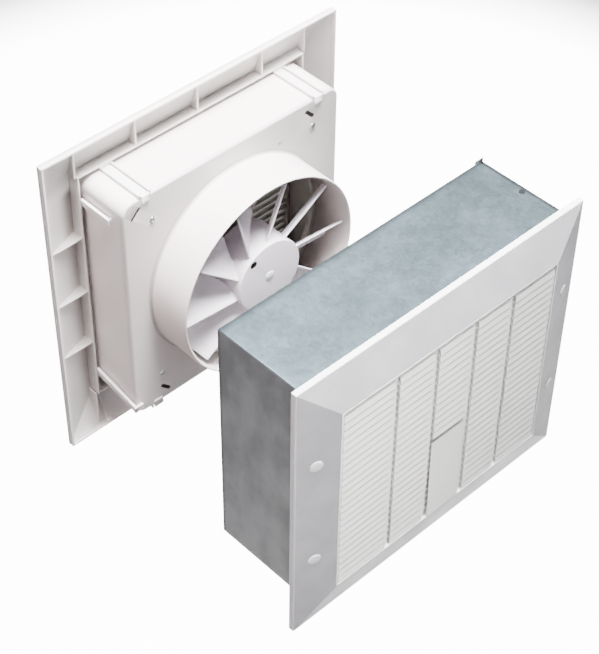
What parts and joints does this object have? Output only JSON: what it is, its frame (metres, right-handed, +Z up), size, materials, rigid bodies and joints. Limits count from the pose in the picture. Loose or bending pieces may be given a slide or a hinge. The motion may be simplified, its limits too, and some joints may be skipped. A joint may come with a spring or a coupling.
{
  "type": "wall exhaust fan",
  "caption": "Through-wall exhaust fan: fan unit with square fascia, plinth and round duct, drawn apart from its galvanised wall sleeve with exterior louvre grille.",
  "frame": {"origin": "centre of the wall opening: the fan axis where it meets the outer wall face, which is the plane of the rear rim of the exterior grille flange", "axes": "+Z up, +Y along the fan axis from outdoors towards the room, +X along the width of the grille"},
  "size_m": [0.406, 0.397, 0.406],
  "materials": {
    "white_plastic": "semi-gloss moulded plastic",
    "ivory_plastic": "satin moulded plastic",
    "impeller_plastic": "semi-gloss moulded plastic",
    "galvanised_sheet": "spangled zinc",
    "plated_steel": "zinc plated",
    "dark_metal": "dark oxide",
    "motor_casting": "die cast",
    "bronze": "sintered",
    "black_rubber": "matt"
  },
  "bodies": {
    "wall_side": {"grille_frame": "white_plastic", "louvre_panel": "ivory_plastic", "screw_caps": "white_plastic", "grille_screws": "plated_steel", "wall_sleeve": "galvanised_sheet", "seam_rivets": "dark_metal"},
    "fan_unit": {"plinth": "white_plastic", "inlet_ring": "white_plastic", "inlet_ring_screws": "plated_steel", "fascia": "white_plastic", "intake_louvres": "ivory_plastic", "strap_clips": "white_plastic", "side_arms": "white_plastic", "motor_spider": "white_plastic", "spider_screws": "plated_steel", "motor_front_shell": "motor_casting", "stator_stack": "dark_metal", "motor_rear_shell": "motor_casting", "front_bearing": "bronze", "rear_bearing": "bronze", "motor_bolts": "plated_steel", "motor_nuts": "plated_steel", "terminal_box": "white_plastic", "terminal_block": "ivory_plastic", "terminal_cover": "white_plastic", "cable_grommet": "black_rubber", "run_capacitor": "ivory_plastic", "capacitor_strap": "plated_steel"},
    "impeller": {"impeller": "impeller_plastic", "hub_cap": "ivory_plastic", "motor_shaft": "plated_steel", "rotor_core": "dark_metal", "shaft_clips": "plated_steel"}
  },
  "joints": [
    {"name": "telescope", "type": "slide", "parent": "wall_side", "child": "fan_unit", "axis": [0, -1, 0], "range_m": [0, 0.18]},
    {"name": "impeller_spin", "type": "hinge", "parent": "fan_unit", "child": "impeller", "pos_m": [0, 0.25, 0], "axis": [0, 1, 0], "continuous": true}
  ]
}
